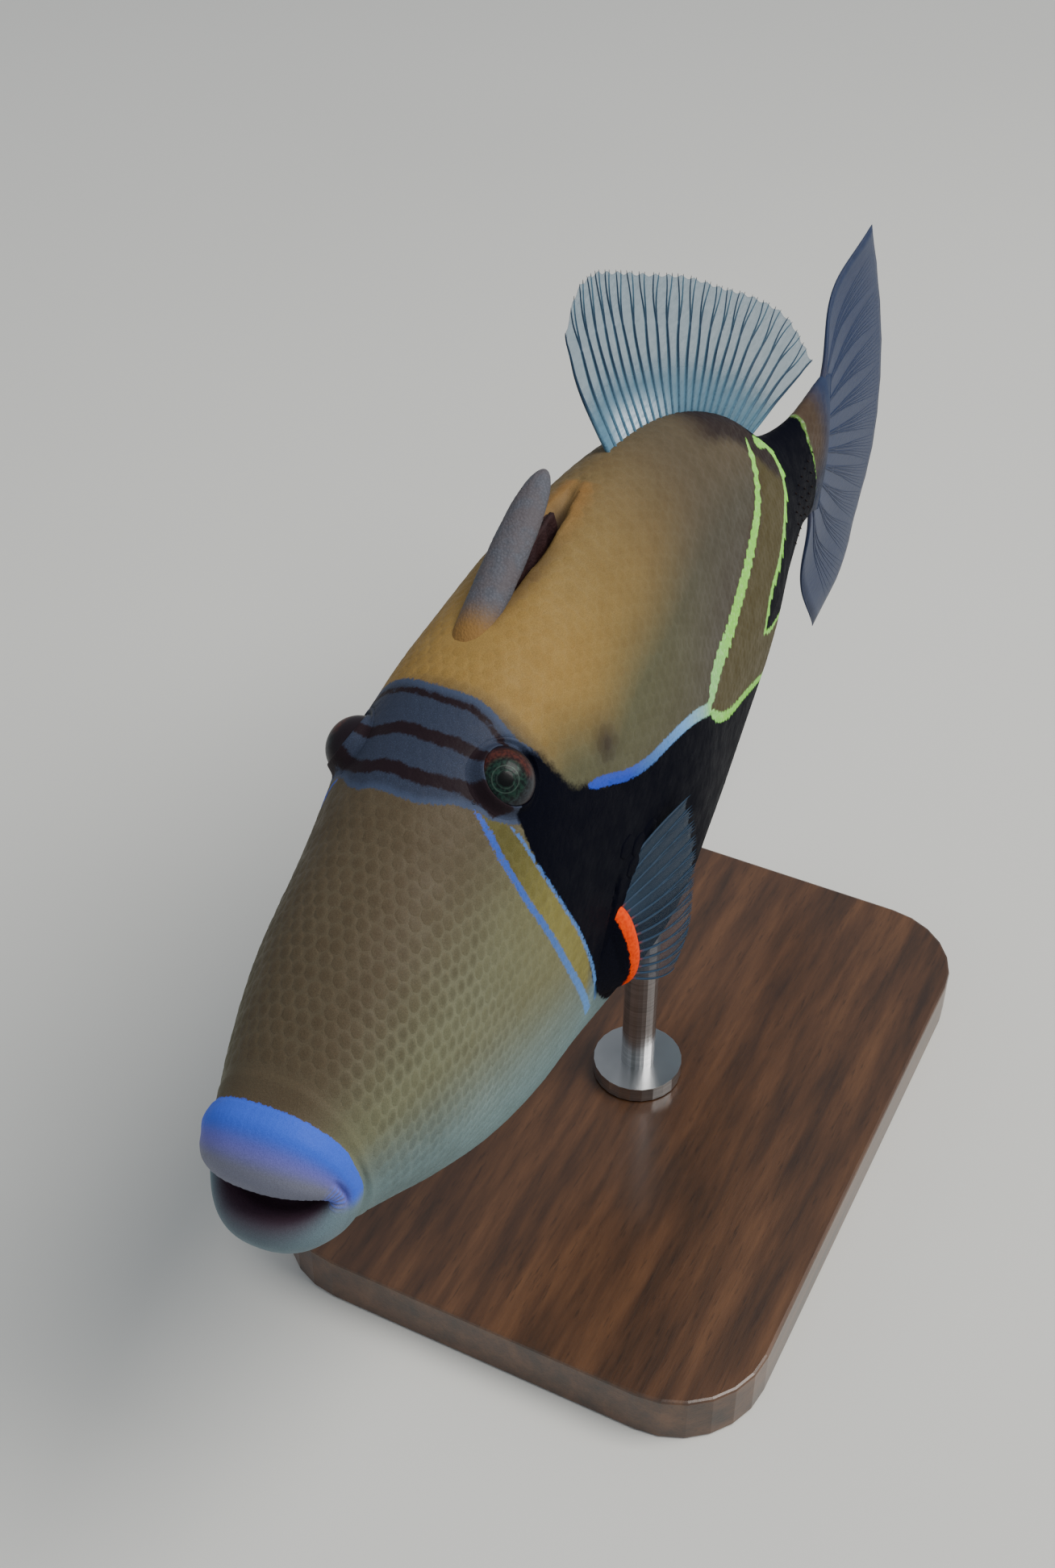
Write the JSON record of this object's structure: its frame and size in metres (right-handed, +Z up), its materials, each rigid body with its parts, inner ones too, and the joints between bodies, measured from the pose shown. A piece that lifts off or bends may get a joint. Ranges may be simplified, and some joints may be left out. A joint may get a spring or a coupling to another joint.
{
  "type": "reef triggerfish model",
  "caption": "Life-size reef triggerfish, fins spread and tail swept, held over a flat base on a short rod for display.",
  "frame": {"origin": "centre of the stand base's underside", "axes": "+Z up, -X the way the fish faces, -Y the fish's left side"},
  "size_m": [0.2287, 0.088, 0.1591],
  "materials": {
    "skin": "painted scales, satin",
    "lip": "smooth, moist",
    "eye": "polished",
    "spine": "rough, grainy",
    "fin": "thin, translucent",
    "base_wood": "oiled dark wood",
    "rod_metal": "brushed"
  },
  "bodies": {
    "root": {"head": "skin", "trunk": "skin", "caudal_peduncle": "skin", "upper_lip": "lip", "lower_lip": "lip", "eye_left": "eye", "eye_right": "eye", "dorsal_spine_first": "spine", "dorsal_spine_second": "spine", "dorsal_spine_web": "spine", "pelvic_knob": "spine", "dorsal_fin": "fin", "anal_fin": "fin", "caudal_fin": "fin", "pectoral_fin_left": "fin", "pectoral_fin_right": "fin", "stand_base": "base_wood", "stand_rod": "rod_metal"}
  },
  "joints": []
}
